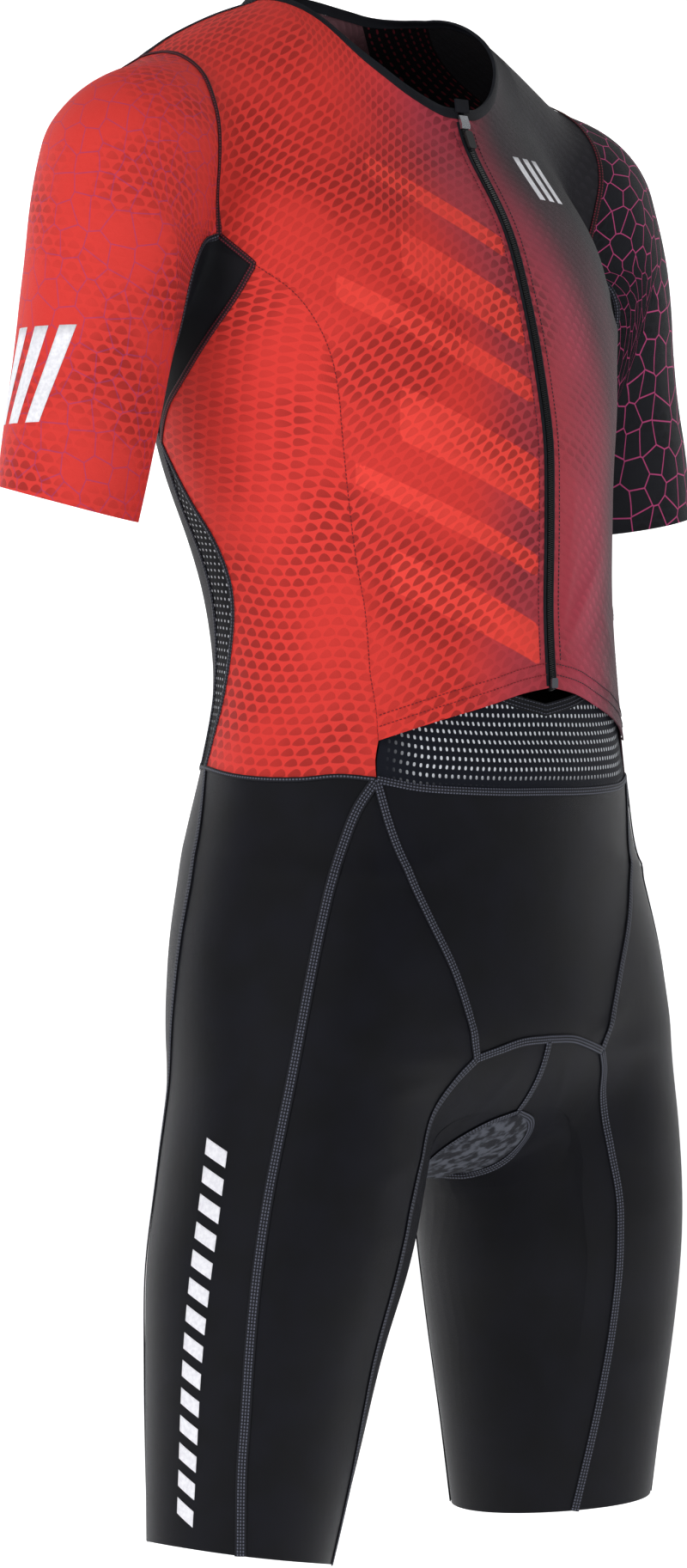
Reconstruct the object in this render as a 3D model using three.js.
import * as THREE from "three";

// Short-sleeved triathlon suit in its worn shape, with nobody inside it.
// Millimetres. Front is -Y, up is +Z, +X is the wearer's left side.
// The origin is the centre of the neck opening at shoulder height.

// Driving sizes
const CLOTH = 1.4;
const MESH_CLOTH = 1.1;
// Gap from a piece's edge to the seam line, and between two layers of cloth
const SEAM_INSET = 0.24;
const LAYER_GAP = 0.5;
const INNER_LEG_BACK_INSET = 1.3;
const POINT_INSET = 2.4;
const BINDING_HEIGHT = 7;
const BINDING_WALL = 2.2;
const BINDING_LIFT = 0.2;
const BINDING_ROLL = 0.35;
const BAND_HEIGHT = 8;
// The waist mesh goes one layer under from its lower seam up, over MESH_DROP millimetres
const MESH_SEAM_HEIGHT = -500;
const MESH_DROP = 34;
const PAD_RISE = 2.4;
const PAD_WALL = 4;
const PAD_INSET = 0.9;
const PAD_ROWS = 6;
// The free lower edge of the front stands off the mesh under it
const HEM_LIFT = 3.2;
const HEM_LIFT_TOP = -360;
const HEM_LIFT_REACH = 60;
const HEM_CORNER = 117;
// Zip: ZIP_HALF is from the middle line to the edge of the front
const ZIP_HALF = 2.8;
const ZIP_TOP = -80;
const ZIP_BOTTOM = -437;
const TAPE_WIDTH = 12;
const TAPE_WALL = 0.9;
const TAPE_MIDDLE_GAP = 0.3;
const TEETH_HALF = 2.5;
const TEETH_WALL = 1.9;
const TEETH_RISE = 0.9;
const TEETH_ROWS = 24;
const TEETH_BEYOND = 3;
const SLIDER_HEIGHT = -78.5;
const SLIDER_HALF = 3.9;
const HINGE_DROP = 5.3;
const HINGE_OUT = 3.4;
const PULL_TIP_HEIGHT = -96;
const PULL_TIP_OUT = 2.7;
const PULL_GAP = 0.9;
const PULL_LENGTH = 12.5;
const PULL_HALF = 3.4;
const PULL_CORNER = 1.5;
const PULL_THICKNESS = 1.4;
// Slider seen from the side. Columns: along the zip, out from the cloth.
const SLIDER_PROFILE = [[-4.5, 1.3], [4.5, 1.3], [4.5, 2.4], [1.5, 2.9], [-2.2, 3.4], [-4, 2.8], [-4.5, 2.8]];
const GARAGE = { height: -67, half: 6, drop: 5, rise: 3.5, inner: 1.4, outer: 2.8 };
const STOP = { half: 3, tall: 3.2, corner: 1, inner: 1.3, outer: 2.5 };

// General figure under the cloth: oval sections, joined smoothly over BLEND millimetres.
const BLEND = 9;
// Trunk columns: height, half width, front, widest line, back, squareness. Distances forward of the origin.
const TRUNK = [
  [20, 20, 20, 0, -20, 2],
  [-25, 66, 46, 0, -66, 2],
  [-60, 112, 72, 0, -84, 2],
  [-94, 150, 89, 0, -93, 2],
  [-120, 168, 107, 0, -98, 2],
  [-150, 178, 125, 2, -101, 2.1],
  [-187, 180, 137, 5, -103, 2.1],
  [-224, 175, 147, 8, -105, 2.1],
  [-256, 168, 153, 9, -107, 2.1],
  [-286, 162, 158, 11, -105, 2],
  [-344, 153, 158, 24, -80, 2],
  [-381, 149, 157, 34, -68, 2],
  [-435, 151, 157, 44, -58, 2],
  [-486, 160, 156, 46, -66, 2],
  [-537, 173, 155, 44, -75, 2],
  [-601, 187, 159, 44, -74, 2],
  [-650, 188, 160, 47, -74, 2],
  [-690, 168, 145, 48, -70, 2],
  [-715, 140, 120, 48, -60, 2],
  [-735, 95, 92, 46, -20, 2],
  [-748, 20, 56, 44, 20, 2],
];
// Leg columns: height, distance out, distance forward, radius to the outer front, radius across that.
const LEG = [
  [-560, 84, 50, 78, 72],
  [-610, 95, 50, 90, 83],
  [-661, 105, 50, 92, 84],
  [-700, 112, 50, 92, 85],
  [-745, 121, 50, 90, 84],
  [-785, 128, 48, 88, 83],
  [-850, 137, 42, 82, 74],
  [-917, 143, 37, 73, 66],
  [-975, 148, 32, 65.5, 58.5],
  [-1010, 151, 29, 61, 54],
];
// Arm columns: height, distance out, distance forward, radius.
const ARM = [
  [-40, 190, -3, 51],
  [-105, 211, -3, 54],
  [-125, 216.5, -2, 55],
  [-143, 221.5, -1, 55],
  [-170, 228, 0, 53.5],
  [-206, 237, -1, 50.5],
  [-240, 245, -1, 48.5],
  [-275, 254, 0, 47.5],
  [-310, 262, 0, 46],
  [-350, 271, 0, 43.5],
];
// Shoulder beam columns: distance out, height of its middle, distance forward, half height, half depth.
const YOKE = [
  [0, -66, -14, 62, 78],
  [40, -64, -17, 62, 77],
  [78, -63, -21, 61, 75],
  [130, -77, -23, 56, 68],
  [180, -97, -20, 47.5, 56],
  [240, -126, -17, 44, 50],
];
const TRUNK_TOP = 20;
const TRUNK_FOOT = -748;
const LEG_TOP = -560;
const YOKE_SQUARENESS = 2.2;
// Rounding of the tables, in millimetres each way
const BODY_SOFTENING = 16;
const LIMB_SOFTENING = 10;
// The arm and the shoulder beam end in domes from this height and this distance out.
const ARM_DOME = -105;
const YOKE_DOME = 180;
const NECK = { radius: 76, deep: 77, from: -20, spread: 0.1, fadeFrom: -30, fade: 0.005 };

// A table drawn at every millimetre with a curve that never overshoots its rows,
// then rounded where its slope changes, over `soften` millimetres each way.
function fineTable(table, soften) {
  const rows = [...table].sort((a, b) => a[0] - b[0]);
  const x = rows.map((r) => r[0]);
  const count = x.length;
  const start = x[0];
  const length = Math.round(x[count - 1] - start);
  const columns = [];
  for (let c = 1; c < rows[0].length; c++) {
    const y = rows.map((r) => r[c]);
    const h = [];
    const d = [];
    for (let i = 0; i < count - 1; i++) {
      h.push(x[i + 1] - x[i]);
      d.push((y[i + 1] - y[i]) / (x[i + 1] - x[i]));
    }
    const m = new Array(count).fill(0);
    m[0] = d[0];
    m[count - 1] = d[count - 2];
    for (let i = 1; i < count - 1; i++) {
      if (d[i - 1] * d[i] > 0) {
        const w1 = 2 * h[i] + h[i - 1];
        const w2 = h[i] + 2 * h[i - 1];
        m[i] = (w1 + w2) / (w1 / d[i - 1] + w2 / d[i]);
      }
    }
    const column = [];
    let i = 0;
    for (let k = 0; k <= length; k++) {
      const at = start + k;
      while (i < count - 2 && at > x[i + 1]) i++;
      const s = (at - x[i]) / h[i];
      const s2 = s * s;
      const s3 = s2 * s;
      column.push(
        (2 * s3 - 3 * s2 + 1) * y[i] + (s3 - 2 * s2 + s) * h[i] * m[i] +
        (3 * s2 - 2 * s3) * y[i + 1] + (s3 - s2) * h[i] * m[i + 1]
      );
    }
    columns.push(softened(softened(column, soften), soften));
  }
  return { start, length, columns };
}

function softened(values, reach) {
  const last = values.length - 1;
  return values.map((value, k) => {
    const room = Math.min(reach, k, last - k);
    let sum = 0;
    for (let i = k - room; i <= k + room; i++) sum += values[i];
    return sum / (2 * room + 1);
  });
}

function readTable(table, at) {
  const f = Math.min(Math.max(at - table.start, 0), table.length);
  const i = Math.min(Math.floor(f), table.length - 1);
  const s = f - i;
  return table.columns.map((c) => c[i] * (1 - s) + c[i + 1] * s);
}

const trunkTable = fineTable(TRUNK, BODY_SOFTENING);
const legTable = fineTable(LEG, BODY_SOFTENING);
const armTable = fineTable(ARM, LIMB_SOFTENING);
const yokeTable = fineTable(YOKE, LIMB_SOFTENING);

// Distance of a point from an oval of radii ra and rb. `past` is how far it is beyond the tube's last oval,
// where the tube ends in a dome as deep as rb.
function ovalGap(a, b, ra, rb, n, past = 0) {
  const sum = Math.pow(Math.abs(a / ra), n) + Math.pow(Math.abs(b / rb), n) + Math.pow(past / rb, n);
  return Math.hypot(a, b, past) * (1 - 1 / (Math.pow(sum, 1 / n) + 1e-9));
}

// How far a point is outside the figure.
function figureGap(px, py, pz) {
  const x = Math.abs(px);
  const f = -py;
  const z = pz;
  const [half, front, mid, back, n] = readTable(trunkTable, z);
  const depth = f > mid ? front - mid : mid - back;
  let trunk = ovalGap(x, f - mid, half, depth, n);
  trunk = Math.max(trunk, z - TRUNK_TOP, TRUNK_FOOT - z);
  const [legOut, legForward, long, cross] = readTable(legTable, z);
  const lx = x - legOut;
  const lf = f - legForward;
  const legGap = ovalGap((lx + lf) * Math.SQRT1_2, (lx - lf) * Math.SQRT1_2, long, cross, 2);
  const leg = Math.max(legGap, z - LEG_TOP);
  const [armOut, armForward, armRadius] = readTable(armTable, z);
  const arm = Math.hypot(x - armOut, f - armForward, Math.max(0, z - ARM_DOME)) - armRadius;
  const [yokeHeight, yokeForward, yokeHalf, yokeDeep] = readTable(yokeTable, x);
  const pastYoke = Math.max(0, x - YOKE_DOME);
  const yoke = ovalGap(f - yokeForward, z - yokeHeight, yokeDeep, yokeHalf, YOKE_SQUARENESS, pastYoke);
  const neckRadius = NECK.radius + NECK.spread * (NECK.from - z);
  const fade = NECK.fade * Math.max(0, NECK.fadeFrom - z) ** 2;
  const neck = Math.hypot(x, (f * NECK.radius) / NECK.deep) - neckRadius + fade;
  const lowest = Math.min(trunk, leg, arm, yoke, neck);
  let sum = 0;
  for (const g of [trunk, leg, arm, yoke, neck]) sum += Math.exp((lowest - g) / BLEND);
  return lowest - BLEND * Math.log(sum);
}

function figureSlope(p) {
  const e = 0.5;
  return new THREE.Vector3(
    figureGap(p.x + e, p.y, p.z) - figureGap(p.x - e, p.y, p.z),
    figureGap(p.x, p.y + e, p.z) - figureGap(p.x, p.y - e, p.z),
    figureGap(p.x, p.y, p.z + e) - figureGap(p.x, p.y, p.z - e)
  );
}

function figureNormal(p) {
  return figureSlope(p).normalize();
}

function press(point) {
  const p = point.clone();
  for (let i = 0; i < 14; i++) {
    const slope = figureSlope(p);
    const size = Math.max(slope.length(), 1e-6);
    const step = figureGap(p.x, p.y, p.z) / Math.max(size, 0.15);
    p.addScaledVector(slope, -Math.min(Math.max(step, -12), 12) / size);
  }
  return p;
}

// Point on the front of the figure at a given place across and height.
function frontPoint(x, z) {
  const p = new THREE.Vector3(x, -170, z);
  for (let i = 0; i < 30; i++) {
    const slope = Math.min(figureSlope(p).y, -0.3);
    p.y -= Math.min(Math.max(figureGap(p.x, p.y, p.z) / slope, -10), 10);
  }
  return p;
}

// Seams of the wearer's left side; the right side mirrors them.
// Columns: distance out, distance forward, height.
const SEAMS = {
  neck_front: [[2.8, 84, -76], [16, 83, -75], [38, 75, -65], [56, 59, -50], [70, 36, -35],
    [77, 12, -24], [77, -17, -16]],
  neck_yoke: [[77, -17, -16], [74, -30, -8], [58, -55, 3]],
  neck_back: [[58, -55, 3], [32, -74, 10], [0, -82, 13]],
  shoulder: [[77, -17, -16], [104, -33, -19], [134, -41, -27], [165, -40, -38]],
  yoke_back: [[58, -55, 3], [88, -72, -20], [124, -82, -45], [156, -80, -68], [178, -66, -88]],
  armhole_front: [[165, -40, -38], [167, -18, -37], [172, 6, -43], [177, 26, -57], [182, 39, -76],
    [183, 44, -98], [180, 44, -120], [177, 42, -140], [176, 41, -159]],
  armhole_yoke: [[165, -40, -38], [170, -44, -46], [175, -58, -64], [178, -66, -88]],
  armhole_back: [[178, -66, -88], [180, -68, -112], [178, -64, -138], [175, -54, -160]],
  gusset_corner: [[176, 41, -159], [165, 60, -177]],
  gusset_side: [[165, 60, -177], [172, 50, -197], [174, 29, -221], [170, 4, -245], [163, -17, -262],
    [150, -35, -282]],
  gusset_back: [[150, -35, -282], [162, -48, -248], [170, -58, -205], [175, -54, -160]],
  gusset_fold: [[176, 41, -159], [184, 24, -184], [187, 2, -195], [184, -26, -186], [175, -54, -160]],
  gusset_sleeve: [[176, 41, -159], [193, 46, -168], [204, 42, -184], [206, 26, -220], [203, 0, -250],
    [205, -28, -222], [196, -46, -184], [175, -54, -160]],
  princess: [[165, 60, -177], [152, 80, -194], [144, 92, -212], [137, 98, -232], [133, 101, -255],
    [129, 101, -285], [125, 102, -320], [122, 105, -355], [119, 110, -388], [118, 112, -410],
    [118, 114, -430], [117, 118, -450], [117, 120, -470]],
  princess_foot: [[117, 120, -470], [119, 119, -482], [119, 120, -494]],
  front_hem: [[2.8, 157, -437], [26, 155, -441], [50, 151, -448], [84, 139, -458], [117, 120, -470]],
  side_back: [[150, -35, -282], [153, -8, -320], [153, 12, -345], [150, 24, -371], [149, 26, -393],
    [148, 22, -418], [147, 14, -446], [146, 7, -466], [147, 1, -487]],
  strip_back: [[150, -35, -282], [146, -24, -322], [143, -8, -350], [139, 2, -376], [138, 4, -400],
    [138, 0, -425], [138, -7, -452], [138, -12, -470], [139, -15, -486]],
  waist_front: [[0, 156, -502], [35, 153, -502], [68, 146, -501], [96, 134, -499], [119, 120, -494]],
  waist_side: [[119, 120, -494], [136, 104, -492], [150, 86, -494], [159, 63, -494], [160, 38, -492],
    [147, 1, -487]],
  waist_strip: [[147, 1, -487], [139, -15, -486]],
  waist_back: [[139, -15, -486], [112, -44, -482], [70, -62, -479], [0, -70, -478]],
  front_panel: [[119, 120, -494], [113, 127, -526], [105, 136, -555], [94, 143, -583], [80, 149, -612],
    [70, 152, -638], [60, 151, -667]],
  crotch_arc: [[0, 159, -657], [24, 158, -658], [42, 155, -662], [60, 151, -667]],
  outer_front: [[119, 120, -494], [130, 114, -512], [139, 111, -533], [149, 110, -557], [159, 110, -586],
    [168, 110, -616], [175, 109, -645], [181, 107, -674], [189, 104, -712], [195, 101, -745],
    [200, 99, -775], [203, 96, -810], [203, 92, -845], [202, 88, -880], [200, 83, -915], [197, 78, -968]],
  inner_front: [[60, 151, -667], [70, 146, -679], [78, 139, -695], [86, 133, -716], [93, 132, -738],
    [100, 132, -762], [105, 129, -790], [110, 123, -820], [114, 114, -855], [115, 105, -890],
    [115, 97, -920], [114, 83, -971]],
  outer_back: [[147, 1, -487], [160, 10, -520], [173, 13, -560], [181, 11, -600], [184, 5, -640],
    [184, -3, -680], [186, -8, -720], [189, -10, -770], [190, -12, -815], [186, -15, -865],
    [180, -16, -920], [175, -16, -967]],
  centre_back: [[0, -70, -478], [0, -80, -540], [0, -80, -600], [0, -80, -660], [0, -72, -700], [0, -52, -722]],
  inner_back: [[0, -52, -722], [26, -48, -738], [48, -38, -765], [66, -32, -800], [82, -30, -850],
    [93, -27, -910], [103, -20, -974]],
  centre_front: [[0, 159, -657], [0, 154, -674], [0, 146, -690], [0, 133, -705]],
  pad_edge: [[0, 133, -705], [20, 126, -711], [34, 112, -722], [40, 92, -736], [38, 60, -747], [34, 20, -748],
    [28, -15, -742], [16, -42, -728], [0, -52, -722]],
  band_top: [[0, 158, -447], [30, 155, -441], [60, 148, -431], [92, 133, -412], [116, 114, -395]],
};

// Side edge of the waist mesh, under the side panel's seam
const WAIST_MESH_SIDE = [[118.4, 120, -494], [117.6, 119, -482], [116, 120, -470], [116, 118, -450],
  [117, 114, -430]];
// How many steps each seam has, so the pieces on both sides of it meet
const SEGMENTS = {
  neck_front: 7, neck_yoke: 3, neck_back: 3, shoulder: 5, yoke_back: 5,
  armhole_front: 7, armhole_yoke: 3, armhole_back: 4, gusset_corner: 1, gusset_side: 7,
  gusset_back: 6, gusset_fold: 14, gusset_sleeve: 14, princess: 14, princess_foot: 1,
  front_hem: 12, side_back: 15, strip_back: 15, waist_front: 6, waist_side: 7,
  waist_strip: 1, waist_back: 8, front_panel: 8, crotch_arc: 6, outer_front: 22,
  inner_front: 14, outer_back: 22, centre_back: 10, centre_front: 2, pad_edge: 8,
  band_top: 6,
};
const ROWS = {
  sleeve: 11, sleeve_cap: 5, gusset: 8, waist_foot: 5, inner_back_seat: 12, inner_back_inside: 20,
};
const LEG_HEM_STEPS = { front: 5, outside: 7, back: 9, inside: 10 };

// Rings round an arm or a leg: height, rise of the outer side, drop of the inner side and rise of the front.
// Angles turn from the outer side (0) through the front (90) to the inner side (180).
const SLEEVE_MIDDLE_RING = { height: -165, outerRise: 55, innerDrop: 117, frontRise: 0 };
// The hems hang a little unevenly, as the worn suit shows
const SLEEVE_HEM = {
  right: { height: -326, outerRise: 6.2, innerDrop: 6.2, frontRise: -9.6 },
  left: { height: -323, outerRise: 9, innerDrop: 9, frontRise: 0 },
};
const LEG_HEM = {
  right: { height: -976, outerRise: 12, innerDrop: 12, frontRise: 0 },
  left: { height: -971, outerRise: 5, innerDrop: 5, frontRise: 0 },
};
// Angle of the front end of the gusset on the two sleeve rings.
const GUSSET_ANGLE_MIDDLE = 80;
const GUSSET_ANGLE_HEM = 95;
const GUSSET_SPREAD = 1.3;
const CAP_BULGE = 30;
// Angles where the leg seams meet the hem.
const HEM_OUTER_FRONT = 43;
const HEM_INNER_FRONT = 124;
const HEM_INNER_BACK = 229;
const HEM_OUTER_BACK = 299;

// Largest folds of the cloth.
// Columns: start (left, forward, up), end (left, forward, up), half width, height.
const FOLDS = [
  [[10, 157, -425], [78, 138, -330], 15, 1.6],
  [[12, 157, -432], [104, 116, -405], 14, 1.5],
  [[-10, 157, -425], [-70, 143, -345], 15, 1.5],
  [[-12, 157, -432], [-102, 118, -410], 14, 1.6],
  [[176, 60, -190], [120, 118, -215], 18, 2],
  [[-176, 60, -190], [-120, 118, -215], 18, 2],
  [[212, 48, -150], [262, 38, -205], 16, 1.6],
  [[-212, 48, -150], [-262, 38, -205], 16, 1.6],
  [[210, -50, -160], [262, -40, -215], 16, 1.6],
  [[-210, -50, -160], [-262, -40, -215], 16, 1.6],
  [[70, 145, -676], [170, 112, -650], 17, 1.8],
  [[-70, 145, -676], [-170, 112, -650], 17, 1.8],
  [[84, 128, -716], [176, 105, -720], 17, 1.4],
  [[-84, 128, -716], [-176, 105, -720], 17, 1.4],
  [[-120, -60, -395], [120, -60, -400], 20, 1.8],
  [[-110, -70, -440], [110, -70, -446], 20, 1.5],
  [[50, -70, -690], [140, -50, -640], 18, 1.6],
  [[-50, -70, -690], [-140, -50, -640], 18, 1.6],
];
const foldLines = FOLDS.map(([a, b, width, height]) => ({
  a: new THREE.Vector3(a[0], -a[1], a[2]),
  ab: new THREE.Vector3(b[0] - a[0], a[1] - b[1], b[2] - a[2]),
  width,
  height,
}));

function foldLift(p) {
  let lift = 0;
  for (const fold of foldLines) {
    const ap = p.clone().sub(fold.a);
    const t = ap.dot(fold.ab) / fold.ab.lengthSq();
    if (t < 0 || t > 1) continue;
    const away = ap.addScaledVector(fold.ab, -t).length() / fold.width;
    if (away > 2) continue;
    const across = Math.exp(-away * away * 1.6);
    lift += fold.height * across * Math.sin(Math.PI * t);
  }
  return lift;
}

// Curves and grids
function curve(points, segments) {
  const spline = new THREE.CatmullRomCurve3(points, false, "centripetal");
  spline.arcLengthDivisions = 400;
  return spline.getSpacedPoints(segments).map(press);
}

function seam(name, side, segments = SEGMENTS[name]) {
  return curve(SEAMS[name].map(([out, forward, z]) => new THREE.Vector3(side * out, -forward, z)), segments);
}

// Point of a ring round a limb, whose table gives the middle and the radius at each height.
function ringPoint(limb, ring, side, degrees) {
  const angle = (degrees * Math.PI) / 180;
  const outward = Math.cos(angle);
  const tilt = (outward > 0 ? ring.outerRise : ring.innerDrop) * outward;
  const height = ring.height + tilt + ring.frontRise * Math.sin(angle);
  const [middle, forward, radius] = readTable(limb, height);
  const x = side * (middle + radius * Math.cos(angle));
  return press(new THREE.Vector3(x, -forward - radius * Math.sin(angle), height));
}

function legHemPoint(side, degrees) {
  return ringPoint(legTable, side < 0 ? LEG_HEM.right : LEG_HEM.left, side, degrees);
}

function legHem(side, from, to, segments) {
  const points = [];
  for (let i = 0; i <= segments; i++) {
    points.push(legHemPoint(side, from + ((to - from) * i) / segments));
  }
  return points;
}

// Seam that runs down a leg and ends on its hem.
function legSeam(name, side, degrees, segments = SEGMENTS[name]) {
  const upper = SEAMS[name].slice(0, -1);
  const points = upper.map(([out, forward, z]) => new THREE.Vector3(side * out, -forward, z));
  return curve([...points, legHemPoint(side, degrees)], segments);
}

function chain(...parts) {
  const points = [...parts[0]];
  for (const part of parts.slice(1)) points.push(...part.slice(1));
  return points;
}

const turned = (points) => [...points].reverse();

function between(a, b, t) {
  return new THREE.Vector3().lerpVectors(a, b, t);
}

// Point on a row of a grid, a given length along it.
function alongRow(row, length) {
  let left = length;
  for (let i = 1; i < row.length; i++) {
    const step = row[i].distanceTo(row[i - 1]);
    if (left <= step) return press(between(row[i - 1], row[i], left / step));
    left -= step;
  }
  return row[row.length - 1].clone();
}

// Grid between four edges: near and far run the same way, as do left and right from near to far.
function patch(near, far, left, right) {
  const n = near.length - 1;
  const m = left.length - 1;
  const rows = [];
  for (let j = 0; j <= m; j++) {
    const v = j / m;
    const row = [];
    for (let i = 0; i <= n; i++) {
      const u = i / n;
      if (j === 0) row.push(near[i].clone());
      else if (j === m) row.push(far[i].clone());
      else if (i === 0) row.push(left[j].clone());
      else if (i === n) row.push(right[j].clone());
      else {
        const p = between(near[i], far[i], v).add(between(left[j], right[j], u));
        p.sub(between(between(near[0], near[n], u), between(far[0], far[n], u), v));
        row.push(press(p));
      }
    }
    rows.push(row);
  }
  return rows;
}

// Solid wall of cloth on a grid. The outer face lies `lift` above the figure and the wall goes inward from it.
// `halfOf` is -1 or 1 for a piece that ends at the middle of the suit on its right or left.
function clothWall(grid, options = {}) {
  const { wall = CLOTH, lift = () => 0, closed = false, inset = SEAM_INSET, halfOf = 0 } = options;
  const { rightInset = inset } = options;
  const m = grid.length - 1;
  const n = grid[0].length - 1;
  const normals = grid.map((row) => row.map(figureNormal));
  const at = (j, i) => grid[j][i];
  const moved = grid.map((row) => row.map((p) => p.clone()));
  for (let j = 0; j <= m; j++) {
    for (let i = 0; i <= n; i++) {
      const up = normals[j][i];
      const shift = new THREE.Vector3();
      const edges = [];
      if (j === 0 || j === m) {
        const next = closed && i === n ? 1 : Math.min(i + 1, n);
        const before = closed && i === 0 ? n - 1 : Math.max(i - 1, 0);
        const along = at(j, next).clone().sub(at(j, before));
        edges.push([along, at(j === 0 ? 1 : m - 1, i), inset]);
      }
      if (!closed && (i === 0 || i === n)) {
        const along = at(Math.min(j + 1, m), i).clone().sub(at(Math.max(j - 1, 0), i));
        edges.push([along, at(j, i === 0 ? 1 : n - 1), i === 0 ? inset : rightInset]);
      }
      let pinched = false;
      for (const [along, inside, depth] of edges) {
        if (along.length() < 0.01) {
          pinched = true;
          continue;
        }
        const away = new THREE.Vector3().crossVectors(up, along).normalize();
        if (away.dot(inside.clone().sub(at(j, i))) < 0) away.negate();
        shift.addScaledVector(away, depth);
      }
      if (pinched) {
        const rowIn = j === 0 ? 1 : j === m ? m - 1 : j;
        const columnIn = i === 0 ? 1 : i === n ? n - 1 : i;
        const acrossRows = at(0, 0).distanceTo(at(0, n)) < 0.01 || at(m, 0).distanceTo(at(m, n)) < 0.01;
        const target = acrossRows ? at(rowIn, Math.round(n / 2)) : at(Math.round(m / 2), columnIn);
        shift.copy(target.clone().sub(at(j, i)).setLength(POINT_INSET));
      }
      moved[j][i].add(shift);
      if (halfOf) moved[j][i].x = halfOf * Math.max(halfOf * moved[j][i].x, SEAM_INSET);
    }
  }
  const points = [];
  const keys = new Map();
  function vertex(p) {
    const key = [p.x, p.y, p.z].map((c) => Math.round(c * 1000)).join(" ");
    if (!keys.has(key)) {
      keys.set(key, points.length);
      points.push(p);
    }
    return keys.get(key);
  }
  const outer = [];
  const inner = [];
  for (let j = 0; j <= m; j++) {
    outer.push([]);
    inner.push([]);
    for (let i = 0; i <= n; i++) {
      const rise = lift(grid[j][i], i / n, j / m) + foldLift(grid[j][i]);
      outer[j].push(vertex(moved[j][i].clone().addScaledVector(normals[j][i], rise)));
      inner[j].push(vertex(moved[j][i].clone().addScaledVector(normals[j][i], rise - wall)));
    }
    if (closed) {
      outer[j][n] = outer[j][0];
      inner[j][n] = inner[j][0];
    }
  }
  const faces = [];
  function triangle(a, b, c) {
    if (a !== b && b !== c && c !== a) faces.push(a, b, c);
  }
  function quad(a, b, c, d) {
    if (points[a].distanceTo(points[c]) <= points[b].distanceTo(points[d])) {
      triangle(a, b, c);
      triangle(a, c, d);
    } else {
      triangle(a, b, d);
      triangle(b, c, d);
    }
  }
  for (let j = 0; j < m; j++) {
    for (let i = 0; i < n; i++) {
      quad(outer[j][i], outer[j][i + 1], outer[j + 1][i + 1], outer[j + 1][i]);
      quad(inner[j][i + 1], inner[j][i], inner[j + 1][i], inner[j + 1][i + 1]);
    }
  }
  for (let i = 0; i < n; i++) {
    quad(inner[0][i], inner[0][i + 1], outer[0][i + 1], outer[0][i]);
    quad(outer[m][i], outer[m][i + 1], inner[m][i + 1], inner[m][i]);
  }
  if (!closed) {
    for (let j = 0; j < m; j++) {
      quad(outer[j][0], outer[j + 1][0], inner[j + 1][0], inner[j][0]);
      quad(inner[j][n], inner[j + 1][n], outer[j + 1][n], outer[j][n]);
    }
  }
  return solid(points, faces);
}

function solid(points, faces) {
  let volume = 0;
  for (let k = 0; k < faces.length; k += 3) {
    const [a, b, c] = [points[faces[k]], points[faces[k + 1]], points[faces[k + 2]]];
    volume += a.dot(new THREE.Vector3().crossVectors(b, c));
  }
  const index = [];
  for (let k = 0; k < faces.length; k += 3) {
    if (volume > 0) index.push(faces[k], faces[k + 1], faces[k + 2]);
    else index.push(faces[k], faces[k + 2], faces[k + 1]);
  }
  const geometry = new THREE.BufferGeometry();
  const positions = points.flatMap((p) => [p.x, p.y, p.z]);
  geometry.setAttribute("position", new THREE.Float32BufferAttribute(positions, 3));
  geometry.setIndex(index);
  geometry.computeVertexNormals();
  return geometry;
}

// Colours read from the photo
const COLOURS = {
  red: { color: "#cf3a34", roughness: 0.6, metalness: 0 },
  grey: { color: "#453f43", roughness: 0.6, metalness: 0 },
  dark: { color: "#23252d", roughness: 0.55, metalness: 0 },
  shorts: { color: "#262831", roughness: 0.5, metalness: 0 },
  mesh: { color: "#20242e", roughness: 0.7, metalness: 0 },
  binding: { color: "#15171c", roughness: 0.65, metalness: 0 },
  pad: { color: "#5a5c63", roughness: 0.9, metalness: 0 },
  metal: { color: "#9a9ca2", roughness: 0.35, metalness: 1 },
};

function add(group, name, geometry, colour) {
  const mesh = new THREE.Mesh(geometry, new THREE.MeshStandardMaterial(COLOURS[colour]));
  mesh.name = name;
  group.add(mesh);
}

// Place on the centre line of the zip: `out` is along the cloth's normal, `up` along the zip.
function zipFrame(z) {
  const p = frontPoint(0, z);
  const out = figureNormal(p);
  out.x = 0;
  out.normalize();
  const up = new THREE.Vector3(0, out.z, -out.y).normalize();
  if (up.z < 0) up.negate();
  return { p, out, up };
}

// Flat plate with an outline seen from the front, from `low` to `high` above the figure.
function plate(frame, outline, low, high) {
  const points = [];
  for (const depth of [low, high]) {
    for (const [x, y] of outline) {
      points.push(frame.p.clone().add(new THREE.Vector3(x, 0, 0))
        .addScaledVector(frame.up, y).addScaledVector(frame.out, depth));
    }
  }
  const count = outline.length;
  const faces = [];
  const shape = outline.map(([x, y]) => new THREE.Vector2(x, y));
  for (const [a, b, c] of THREE.ShapeUtils.triangulateShape(shape, [])) {
    faces.push(a, c, b);
    faces.push(a + count, b + count, c + count);
  }
  for (let i = 0; i < count; i++) {
    const k = (i + 1) % count;
    faces.push(i, k, k + count);
    faces.push(i, k + count, i + count);
  }
  return solid(points, faces);
}

// Solid with one outline seen from the side, the same across the whole width.
function sideProfile(frame, outline, half) {
  const points = [];
  for (const x of [-half, half]) {
    for (const [up, out] of outline) {
      points.push(frame.p.clone().setX(x).addScaledVector(frame.up, up).addScaledVector(frame.out, out));
    }
  }
  const count = outline.length;
  const faces = [];
  const shape = outline.map(([up, out]) => new THREE.Vector2(up, out));
  for (const [a, b, c] of THREE.ShapeUtils.triangulateShape(shape, [])) {
    faces.push(a, b, c);
    faces.push(a + count, c + count, b + count);
  }
  for (let i = 0; i < count; i++) {
    const k = (i + 1) % count;
    faces.push(i, k + count, k);
    faces.push(i, i + count, k + count);
  }
  return solid(points, faces);
}

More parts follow.
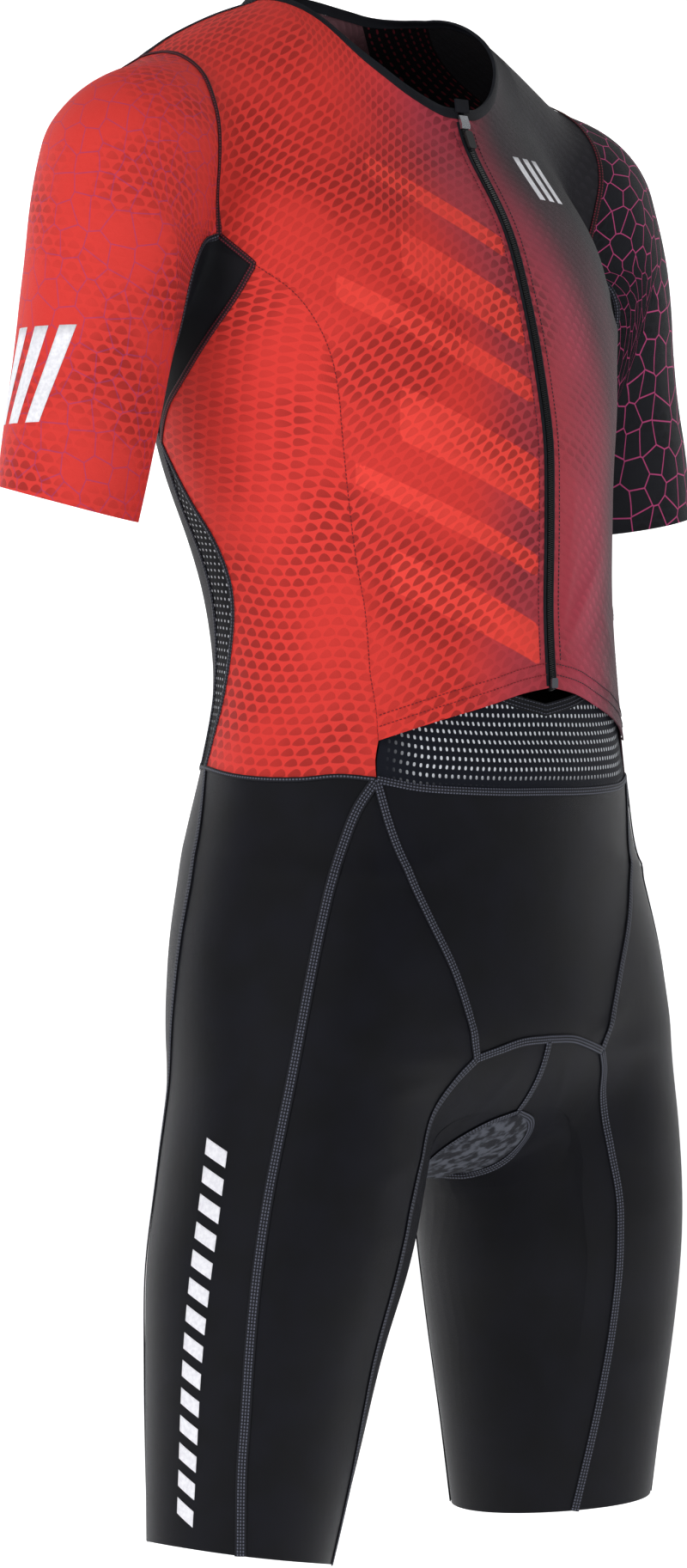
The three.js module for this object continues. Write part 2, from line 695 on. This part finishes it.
function roundedBox(half, tall, corner) {
  const outline = [];
  for (const [sx, sy, start] of [[1, 1, 0], [-1, 1, 90], [-1, -1, 180], [1, -1, 270]]) {
    for (const turn of [0, 45, 90]) {
      const angle = ((start + turn) * Math.PI) / 180;
      const x = sx * (half - corner) + corner * Math.cos(angle);
      outline.push([x, sy * (tall - corner) + corner * Math.sin(angle)]);
    }
  }
  return outline;
}

function build() {
  const group = new THREE.Group();
  group.name = "triathlon_suit";
  const under = CLOTH + LAYER_GAP;
  const hemCurve = seam("front_hem", -1, 40).concat(seam("front_hem", 1, 40));
  const hemDistance = (p) => Math.min(...hemCurve.map((q) => q.distanceTo(p)));
  const hemLift = (p) => {
    if (p.z > HEM_LIFT_TOP) return 0;
    const near = Math.max(0, 1 - hemDistance(p) / HEM_LIFT_REACH);
    const inward = Math.max(0, 1 - Math.abs(p.x) / HEM_CORNER);
    return HEM_LIFT * near ** 2 * (0.45 + 0.55 * Math.min(1, inward * 3));
  };

  for (const side of [-1, 1]) {
    const end = side < 0 ? "right" : "left";
    const s = (name, count) => seam(name, side, count);
    const frontRows = SEGMENTS.armhole_front + SEGMENTS.gusset_corner + SEGMENTS.princess;
    const zipHeights = [-76, -94, -117, -139, -187, -224, -256, -286, -308, -344, -372, -405, ZIP_BOTTOM];
    const zipEdge = curve(zipHeights.map((z) => frontPoint(side * ZIP_HALF, z)), frontRows);
    zipEdge[0] = s("neck_front")[0];
    zipEdge[frontRows] = s("front_hem")[0];
    const frontGrid = patch(
      s("front_hem"),
      chain(s("neck_front"), s("shoulder")),
      turned(zipEdge),
      turned(chain(s("armhole_front"), s("gusset_corner"), s("princess")))
    );
    add(group, "front_" + end, clothWall(frontGrid, { lift: hemLift }), side < 0 ? "red" : "grey");
    const tape = frontGrid.map((row) =>
      [press(row[0].clone().setX(side * TAPE_MIDDLE_GAP)), row[0], alongRow(row, TAPE_WIDTH)]);
    const tapeLift = (p) => hemLift(p) - under;
    add(group, "zip_tape_" + end, clothWall(tape, { wall: TAPE_WALL, lift: tapeLift }), "binding");

    const sideGrid = patch(
      turned(s("waist_side")),
      turned(s("gusset_side")),
      turned(s("side_back")),
      turned(chain(s("princess"), s("princess_foot")))
    );
    add(group, "side_" + end, clothWall(sideGrid), side < 0 ? "red" : "grey");

    const strip = patch(
      turned(s("waist_strip")),
      [s("strip_back")[0], s("side_back")[0]],
      turned(s("strip_back")),
      turned(s("side_back"))
    );
    add(group, "side_mesh_" + end, clothWall(strip, { wall: MESH_CLOTH }), "mesh");

    const torsoEdge = chain(s("gusset_corner"), s("gusset_side"), s("gusset_back"));
    const sleeveEdge = s("gusset_sleeve");
    const fold = s("gusset_fold");
    const gussetRows = [];
    for (let j = 0; j <= ROWS.gusset; j++) {
      const t = (2 * j) / ROWS.gusset;
      gussetRows.push(fold.map((p, i) => {
        if (j === 0) return torsoEdge[i].clone();
        if (j === ROWS.gusset) return sleeveEdge[i].clone();
        return t <= 1 ? press(between(torsoEdge[i], p, t)) : press(between(p, sleeveEdge[i], t - 1));
      }));
    }
    add(group, "gusset_" + end, clothWall(gussetRows), "dark");

    const yoke = patch(s("shoulder"), s("yoke_back"), s("neck_yoke"), s("armhole_yoke"));
    add(group, "yoke_" + end, clothWall(yoke, { wall: MESH_CLOTH }), "mesh");

    const top = chain(s("armhole_front"), sleeveEdge, turned(s("armhole_back")), turned(s("armhole_yoke")));
    const last = top.length - 1;
    const quarter = SEGMENTS.armhole_front;
    const sleeveAngle = (i, corner) => {
      const k = Math.min(i, last - i);
      const turn = k <= quarter ? (corner * k) / quarter
        : corner + (180 - corner) * ((k - quarter) / quarter) ** GUSSET_SPREAD;
      return i <= last - i ? turn : 360 - turn;
    };
    const sleeveRows = [];
    for (let j = 0; j <= ROWS.sleeve; j++) {
      sleeveRows.push(top.map((p, i) => {
        if (j === 0) return p.clone();
        const angle = sleeveAngle(i, GUSSET_ANGLE_MIDDLE);
        const middle = ringPoint(armTable, SLEEVE_MIDDLE_RING, side, angle);
        const hem = ringPoint(armTable, SLEEVE_HEM[end], side, sleeveAngle(i, GUSSET_ANGLE_HEM));
        const down = (j - ROWS.sleeve_cap) / (ROWS.sleeve - ROWS.sleeve_cap);
        if (down >= 0) return press(between(middle, hem, down));
        const t = j / ROWS.sleeve_cap;
        const bulge = 4 * t * (1 - t) * CAP_BULGE * Math.max(0, Math.cos((angle * Math.PI) / 180));
        return press(between(p, middle, t).add(new THREE.Vector3(side * 0.6 * bulge, 0, 0.8 * bulge)));
      }));
    }
    add(group, "sleeve_" + end, clothWall(sleeveRows, { closed: true }), side < 0 ? "red" : "dark");
  }

  // Back panel, from the neck and the mesh yokes down to the waist seam
  const backGrid = patch(
    chain(seam("waist_back", -1), turned(seam("waist_back", 1))),
    chain(turned(seam("yoke_back", -1)), seam("neck_back", -1), turned(seam("neck_back", 1)),
      seam("yoke_back", 1)),
    turned(chain(seam("armhole_back", -1), turned(seam("gusset_back", -1)), seam("strip_back", -1))),
    turned(chain(seam("armhole_back", 1), turned(seam("gusset_back", 1)), seam("strip_back", 1)))
  );
  add(group, "back", clothWall(backGrid), "dark");

  // Mesh at the waist with its hem band, under the free hem of the front
  const waist = chain(turned(seam("waist_front", -1)), seam("waist_front", 1));
  const bandTop = chain(turned(seam("band_top", -1)), seam("band_top", 1));
  const bandFoot = bandTop.map((p) => press(p.clone().setZ(p.z - BAND_HEIGHT)));
  const princessFoot = (side) => {
    const path = WAIST_MESH_SIDE.map(([out, forward, z]) => new THREE.Vector3(side * out, -forward, z));
    path.push(bandFoot[side < 0 ? 0 : bandFoot.length - 1]);
    return curve(path, ROWS.waist_foot);
  };
  const underLift = (p) => -under * Math.min(1, Math.max(0, (p.z - MESH_SEAM_HEIGHT) / MESH_DROP));
  const meshGrid = patch(waist, bandFoot, princessFoot(-1), princessFoot(1));
  add(group, "waist_mesh", clothWall(meshGrid, { wall: MESH_CLOTH, lift: underLift }), "mesh");
  const bandGrid = [bandFoot, bandFoot.map((p, i) => press(between(p, bandTop[i], 0.5))), bandTop];
  add(group, "waist_band", clothWall(bandGrid, { lift: underLift }), "dark");

  // Shorts
  const arc = chain(turned(seam("crotch_arc", -1)), seam("crotch_arc", 1));
  const shortsGrid = patch(arc, waist, turned(seam("front_panel", -1)), turned(seam("front_panel", 1)));
  add(group, "shorts_front", clothWall(shortsGrid), "shorts");
  for (const side of [-1, 1]) {
    const end = side < 0 ? "right" : "left";
    const s = (name, count) => seam(name, side, count);
    const outerFront = legSeam("outer_front", side, HEM_OUTER_FRONT);
    const outerBack = legSeam("outer_back", side, HEM_OUTER_BACK);
    const innerFront = legSeam("inner_front", side, HEM_INNER_FRONT);
    const innerBack = (count) => legSeam("inner_back", side, HEM_INNER_BACK, count);
    const apex = outerFront[0];
    const frontGrid = patch(
      legHem(side, HEM_OUTER_FRONT, HEM_INNER_FRONT, LEG_HEM_STEPS.front),
      new Array(LEG_HEM_STEPS.front + 1).fill(apex),
      turned(outerFront),
      turned(chain(s("front_panel"), innerFront))
    );
    add(group, "leg_front_" + end, clothWall(frontGrid), "shorts");
    const sideGrid = patch(
      legHem(side, HEM_OUTER_BACK, HEM_OUTER_FRONT + 360, LEG_HEM_STEPS.outside),
      turned(s("waist_side")),
      turned(outerBack),
      turned(outerFront)
    );
    add(group, "leg_side_" + end, clothWall(sideGrid), "shorts");
    const rearGrid = patch(
      legHem(side, HEM_INNER_BACK, HEM_OUTER_BACK, LEG_HEM_STEPS.back),
      chain(turned(s("waist_back")), turned(s("waist_strip"))),
      turned(chain(s("centre_back"), innerBack(ROWS.inner_back_seat))),
      turned(outerBack)
    );
    add(group, "leg_back_" + end, clothWall(rearGrid, { halfOf: side }), "shorts");
    const innerGrid = patch(
      legHem(side, HEM_INNER_FRONT, HEM_INNER_BACK, LEG_HEM_STEPS.inside),
      chain(s("centre_front"), s("pad_edge")),
      turned(chain(s("crotch_arc"), innerFront)),
      turned(innerBack(ROWS.inner_back_inside))
    );
    const innerWall = clothWall(innerGrid, { rightInset: INNER_LEG_BACK_INSET, halfOf: side });
    add(group, "leg_inner_" + end, innerWall, "shorts");
  }
  const padRight = seam("pad_edge", -1);
  const padLeft = seam("pad_edge", 1);
  const padPoint = (end) => new Array(PAD_ROWS + 1).fill(end);
  const padGrid = patch(padRight, padLeft, padPoint(padRight[0]), padPoint(padRight[padRight.length - 1]));
  const padLift = (p, u, v) => PAD_RISE * Math.sin(Math.PI * Math.min(1, Math.max(0, v))) ** 0.7;
  add(group, "pad", clothWall(padGrid, { wall: PAD_WALL, lift: padLift, inset: PAD_INSET }), "pad");

  // Neck binding, open at the zip
  const neckRing = chain(
    chain(seam("neck_front", -1), seam("neck_yoke", -1), seam("neck_back", -1)),
    turned(chain(seam("neck_front", 1), seam("neck_yoke", 1), seam("neck_back", 1)))
  );
  const bindingGrid = [0, 0.5, 1].map((t) =>
    neckRing.map((p) => (t === 0 ? p : press(p.clone().setZ(p.z + BINDING_HEIGHT * t)))));
  const bindingLift = (p, u, v) => BINDING_LIFT + (v > 0.25 && v < 0.75 ? BINDING_ROLL : 0);
  add(group, "neck_binding", clothWall(bindingGrid, { wall: BINDING_WALL, lift: bindingLift }), "binding");

  // Zip
  const teethGrid = [];
  for (let j = 0; j <= TEETH_ROWS; j++) {
    const z = ZIP_BOTTOM - TEETH_BEYOND + ((ZIP_TOP - ZIP_BOTTOM + TEETH_BEYOND) * j) / TEETH_ROWS;
    teethGrid.push([frontPoint(-TEETH_HALF, z), frontPoint(TEETH_HALF, z)]);
  }
  const teethLift = (p) => hemLift(p) + TEETH_RISE;
  add(group, "zip_chain", clothWall(teethGrid, { wall: TEETH_WALL, lift: teethLift }), "binding");
  const at = zipFrame(SLIDER_HEIGHT);
  add(group, "zip_slider", sideProfile(at, SLIDER_PROFILE, SLIDER_HALF), "metal");
  // The pull hangs from the slider's lower end and leans on the cloth
  const hinge = at.p.clone().addScaledVector(at.up, -HINGE_DROP).addScaledVector(at.out, HINGE_OUT);
  const rest = zipFrame(PULL_TIP_HEIGHT);
  const tip = rest.p.clone().addScaledVector(rest.out, PULL_TIP_OUT);
  const up = hinge.clone().sub(tip).normalize();
  const pullFrame = { p: hinge, up, out: new THREE.Vector3(0, -up.z, up.y) };
  const pullOutline = roundedBox(PULL_HALF, PULL_LENGTH / 2, PULL_CORNER)
    .map(([x, y]) => [x, y - PULL_LENGTH / 2 - PULL_GAP]);
  add(group, "zip_pull", plate(pullFrame, pullOutline, -PULL_THICKNESS / 2, PULL_THICKNESS / 2), "binding");
  const { half, drop, rise } = GARAGE;
  const garage = [[-half, -drop], [half, -drop], [half, rise], [-half, rise]];
  add(group, "zip_garage", plate(zipFrame(GARAGE.height), garage, GARAGE.inner, GARAGE.outer), "binding");
  const foot = zipFrame(ZIP_BOTTOM + TEETH_BEYOND);
  const stopOutline = roundedBox(STOP.half, STOP.tall, STOP.corner);
  const stop = plate(foot, stopOutline, HEM_LIFT + STOP.inner, HEM_LIFT + STOP.outer);
  add(group, "zip_stop", stop, "metal");
  return group;
}

export default build();
